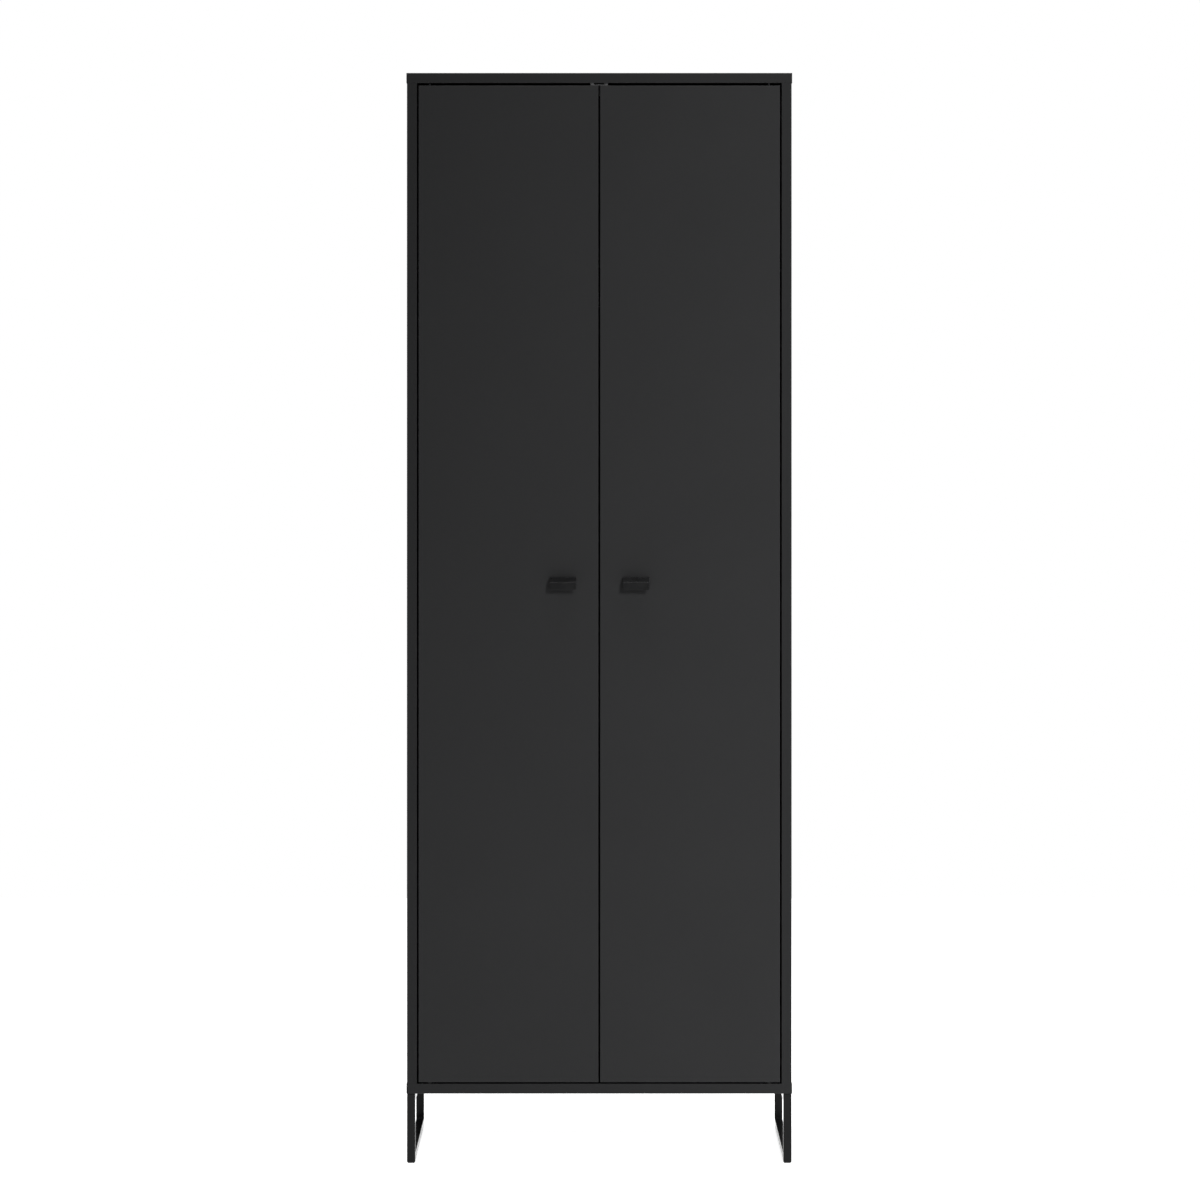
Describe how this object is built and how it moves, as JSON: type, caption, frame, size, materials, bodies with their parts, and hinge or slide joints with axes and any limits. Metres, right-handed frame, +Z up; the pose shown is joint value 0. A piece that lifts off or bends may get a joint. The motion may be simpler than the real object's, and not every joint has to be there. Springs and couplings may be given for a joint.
{
  "type": "wardrobe",
  "caption": "Tall narrow wardrobe with paired inset doors on pin pivots, folded hood pulls, a hat shelf, a clothes rail and sled frames of square tube.",
  "frame": {"origin": "on the floor, under the middle of the whole outline with the handles", "axes": "+Z up, +X to the right of a person facing the doors, the doors face -Y"},
  "size_m": [0.7, 0.522, 1.978],
  "materials": {
    "black_lacquer": "satin",
    "door_lacquer": "satin",
    "black_hardboard": "matte",
    "beech": "matte",
    "black_steel": "satin",
    "handle_steel": "satin",
    "black_rail": "satin",
    "black_screws": "satin",
    "zinc_plated": "satin",
    "cam_zinc": "satin",
    "pivot_steel": "satin",
    "strike_steel": "satin",
    "magnet": "satin",
    "bush_acetal": "satin",
    "nylon": "satin",
    "black_plastic": "matte",
    "pad_rubber": "matte"
  },
  "bodies": {
    "carcass": {"top_panel": "black_lacquer", "bottom_panel": "black_lacquer", "left_side_panel": "black_lacquer", "right_side_panel": "black_lacquer", "back_panel_lower": "black_hardboard", "back_panel_upper": "black_hardboard", "back_panel_joint_strip": "black_plastic", "back_panel_nails": "zinc_plated", "hat_shelf": "black_lacquer", "shelf_pins": "zinc_plated", "clothes_rail": "black_rail", "left_rail_socket": "black_steel", "right_rail_socket": "black_steel", "rail_socket_screws": "black_screws", "wooden_dowels": "beech", "cam_bolts": "zinc_plated", "cam_locks": "cam_zinc", "catch_housing": "black_plastic", "catch_magnets": "magnet", "catch_screws": "zinc_plated", "wall_brackets": "zinc_plated", "wall_bracket_screws": "zinc_plated", "left_leg_frame": "black_steel", "right_leg_frame": "black_steel", "leg_frame_screws": "zinc_plated", "leg_frame_inserts": "zinc_plated", "floor_pads": "pad_rubber", "bottom_pivot_plates": "pivot_steel", "bottom_pivot_screws": "zinc_plated", "bottom_pivot_pins": "pivot_steel", "bottom_pivot_washers": "nylon", "top_pivot_bushes": "nylon"},
    "left_door": {"left_door": "door_lacquer", "left_handle": "handle_steel", "left_handle_screws": "zinc_plated", "left_door_bottom_bush": "bush_acetal", "left_door_top_pin": "pivot_steel", "left_strike_plate": "strike_steel", "left_strike_screw": "zinc_plated"},
    "right_door": {"right_door": "door_lacquer", "right_handle": "handle_steel", "right_handle_screws": "zinc_plated", "right_door_bottom_bush": "bush_acetal", "right_door_top_pin": "pivot_steel", "right_strike_plate": "strike_steel", "right_strike_screw": "zinc_plated"}
  },
  "joints": [
    {"name": "left_door_hinge", "type": "hinge", "parent": "carcass", "child": "left_door", "pos_m": [-0.3079, -0.231, 0.144], "axis": [0, 0, -1], "range_deg": [0, 135]},
    {"name": "right_door_hinge", "type": "hinge", "parent": "carcass", "child": "right_door", "pos_m": [0.3079, -0.231, 0.144], "axis": [0, 0, 1], "range_deg": [0, 135]}
  ]
}
